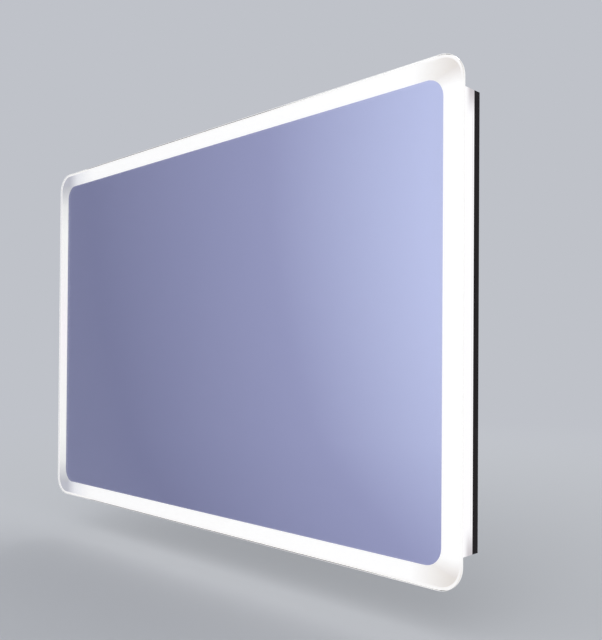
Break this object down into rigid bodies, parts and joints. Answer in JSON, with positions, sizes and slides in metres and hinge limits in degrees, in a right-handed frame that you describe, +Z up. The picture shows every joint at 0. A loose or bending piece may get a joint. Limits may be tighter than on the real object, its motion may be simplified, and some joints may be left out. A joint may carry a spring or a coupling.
{
  "type": "lighted bathroom mirror",
  "caption": "Wall-hung bathroom mirror with rounded corners and a frosted lit border, backed by opal light bars on black profiles, that lifts off a wall rail.",
  "frame": {"origin": "on the wall plane, midway between the two screw slots of the wall rail, 190 mm above the middle of the mirror", "axes": "+X to the right along the mirror as one faces it, +Z up, the glass faces -Y and the wall is the plane Y = 0"},
  "size_m": [0.9, 0.038, 0.6],
  "materials": {
    "clear_glass": "clear float glass, polished edge",
    "silver": "silvered, cool tone",
    "frosted_glass": "sandblasted",
    "grey_film": "satin film",
    "black_aluminium": "black anodised extrusion, satin",
    "opal_acrylic": "opal, lit from inside",
    "led_board": "white solder mask",
    "led_emitter": "phosphor",
    "white_plastic": "moulded",
    "grey_plastic": "moulded, fine texture",
    "black_plastic": "moulded",
    "circuit_board": "green solder mask",
    "foam_tape": "acrylic foam",
    "grey_foam": "closed-cell foam",
    "black_rubber": "moulded",
    "black_steel": "black powder coat, fine texture",
    "galvanised_steel": "galvanised sheet",
    "zinc_steel": "bright zinc plated",
    "aluminium": "bright",
    "white_sheath": "PVC sheath"
  },
  "bodies": {
    "wall_rail": {"wall_rail": "galvanised_steel"},
    "mirror": {"glass_plate": "clear_glass", "mirror_silvering": "silver", "frosted_band": "frosted_glass", "safety_film": "grey_film", "end_plugs": "white_plastic", "bonding_tape": "foam_tape", "wall_pads": "grey_foam", "back_plate": "black_steel", "plate_screws": "zinc_steel", "hanger_left": "galvanised_steel", "hanger_right": "galvanised_steel", "hanger_rivets": "aluminium", "driver_case": "white_plastic", "driver_cover": "white_plastic", "driver_board": "circuit_board", "driver_parts": "black_plastic", "driver_screws": "zinc_steel", "cover_screws": "zinc_steel", "junction_box": "grey_plastic", "junction_lid": "grey_plastic", "junction_screws": "zinc_steel", "terminal_block": "grey_plastic", "cable_grommet": "black_rubber", "mains_lead": "white_sheath", "lead_clips": "white_plastic", "channel_top": "black_aluminium", "diffuser_top": "opal_acrylic", "led_strip_top": "led_board", "led_chips_top": "led_emitter", "lead_top": "white_sheath", "channel_bottom": "black_aluminium", "diffuser_bottom": "opal_acrylic", "led_strip_bottom": "led_board", "led_chips_bottom": "led_emitter", "lead_bottom": "white_sheath", "channel_left": "black_aluminium", "diffuser_left": "opal_acrylic", "led_strip_left": "led_board", "led_chips_left": "led_emitter", "lead_left": "white_sheath", "channel_right": "black_aluminium", "diffuser_right": "opal_acrylic", "led_strip_right": "led_board", "led_chips_right": "led_emitter", "lead_right": "white_sheath"}
  },
  "joints": [
    {"name": "lift_off", "type": "slide", "parent": "wall_rail", "child": "mirror", "axis": [0, 0, 1], "range_m": [0, 0.014]}
  ]
}
